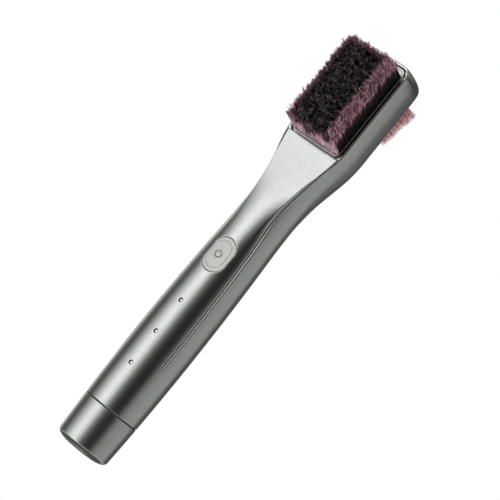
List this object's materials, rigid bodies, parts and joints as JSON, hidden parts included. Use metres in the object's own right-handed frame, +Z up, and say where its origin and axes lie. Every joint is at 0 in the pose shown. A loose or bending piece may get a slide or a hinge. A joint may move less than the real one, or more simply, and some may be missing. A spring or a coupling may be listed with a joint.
{
  "type": "electric shoe cleaning brush",
  "caption": "Battery-powered shoe brush: round barrelled handle with a pull-off end cap, flared flat head, rectangular bristle block on the front and a smaller one on the back.",
  "frame": {"origin": "under the middle of the bounding box, on the surface that the brush lies on", "axes": "+X along the handle from the end cap towards the head, +Z up out of the front of the head; the handle slopes up towards the head because the brush lies on the rim of its end cap and on the rear bristles"},
  "size_m": [0.2622, 0.0422, 0.0575],
  "materials": {
    "satin_paint": "moulded plastic with a satin metallic grey paint",
    "cap_paint": "moulded plastic with a satin metallic grey paint",
    "button_silicone": "soft matt silicone, warm light grey",
    "key_silicone": "soft matt silicone, warm light grey",
    "light_window": "clear moulded light guide",
    "brush_plate": "satin light grey moulding",
    "front_hair": "fine bristle, black with burgundy outer rows",
    "rear_hair": "fine bristle, dusty pink to mauve",
    "chassis_plastic": "black structural plastic",
    "seal_rubber": "black rubber",
    "bright_steel": "plain bright steel",
    "contact_brass": "plain brass",
    "circuit_board": "green board laminate",
    "chip_black": "black moulded chip",
    "cell_wrap": "blue shrink wrap over the cell",
    "white_plastic": "white moulding",
    "natural_acetal": "natural white bearing plastic",
    "red_lead": "red wire insulation",
    "black_lead": "black wire insulation"
  },
  "bodies": {
    "handle": {"rear_casing": "satin_paint", "front_cover": "satin_paint", "inner_chassis": "chassis_plastic", "charge_socket_tongue": "chassis_plastic", "motor_cradle": "chassis_plastic", "neck_bulkhead": "chassis_plastic", "bearing_bridge_near": "chassis_plastic", "bearing_bridge_far": "chassis_plastic", "guide_rail_left": "chassis_plastic", "guide_rail_right": "chassis_plastic", "cap_seal_ring": "seal_rubber", "shaft_seal": "seal_rubber", "charge_socket_shell": "bright_steel", "tact_switch": "bright_steel", "board_screw_near": "bright_steel", "board_screw_far": "bright_steel", "motor_can": "bright_steel", "shaft_bearing_near": "bright_steel", "shaft_bearing_far": "bright_steel", "front_guide_rod_near": "bright_steel", "front_guide_rod_far": "bright_steel", "rear_guide_rod_near": "bright_steel", "rear_guide_rod_far": "bright_steel", "charge_board": "circuit_board", "main_board": "circuit_board", "battery_cell": "cell_wrap", "battery_cradle": "white_plastic", "charge_led_1": "white_plastic", "charge_led_2": "white_plastic", "charge_led_3": "white_plastic", "motor_end_bell": "white_plastic", "battery_contact_front": "contact_brass", "battery_contact_back": "contact_brass", "neck_bushing": "contact_brass", "control_chip": "chip_black", "light_window_1": "light_window", "light_window_2": "light_window", "light_window_3": "light_window", "button_surround": "button_silicone", "battery_lead_front": "red_lead", "motor_lead_left": "red_lead", "battery_lead_back": "black_lead", "motor_lead_right": "black_lead"},
    "cap": {"end_cap": "cap_paint"},
    "button": {"power_button": "key_silicone", "switch_plunger": "chassis_plastic"},
    "drive": {"motor_shaft": "bright_steel", "shaft_coupling": "natural_acetal", "drive_shaft": "bright_steel", "rocker": "natural_acetal"},
    "front_brush": {"front_carrier": "natural_acetal", "front_brush_plate": "brush_plate", "front_bristles": "front_hair"},
    "rear_brush": {"rear_carrier": "natural_acetal", "rear_brush_plate": "brush_plate", "rear_bristles": "rear_hair"}
  },
  "joints": [
    {"name": "cap_pull", "type": "slide", "parent": "handle", "child": "cap", "axis": [-0.9984, 0, -0.0565], "range_m": [0, 0.032]},
    {"name": "button_press", "type": "slide", "parent": "handle", "child": "button", "axis": [0.0565, 0, -0.9984], "range_m": [0, 0.0006], "stiffness_N_per_m": 1200, "springref_m": -0.0003},
    {"name": "drive_swing", "type": "hinge", "parent": "handle", "child": "drive", "pos_m": [0.09713, 0, 0.02611], "axis": [0.9984, 0, 0.0565], "range_deg": [-9.3, 9.3]},
    {"name": "front_brush_sway", "type": "slide", "parent": "handle", "child": "front_brush", "axis": [0, 1, 0], "range_m": [-0.001, 0.001], "stiffness_N_per_m": 2500},
    {"name": "rear_brush_sway", "type": "slide", "parent": "handle", "child": "rear_brush", "axis": [0, 1, 0], "range_m": [-0.001, 0.001]}
  ],
  "couplings": [
    {"joint": "drive_swing", "follows": "front_brush_sway", "rad_per_m": -161.29},
    {"joint": "rear_brush_sway", "follows": "front_brush_sway", "ratio": -1}
  ]
}
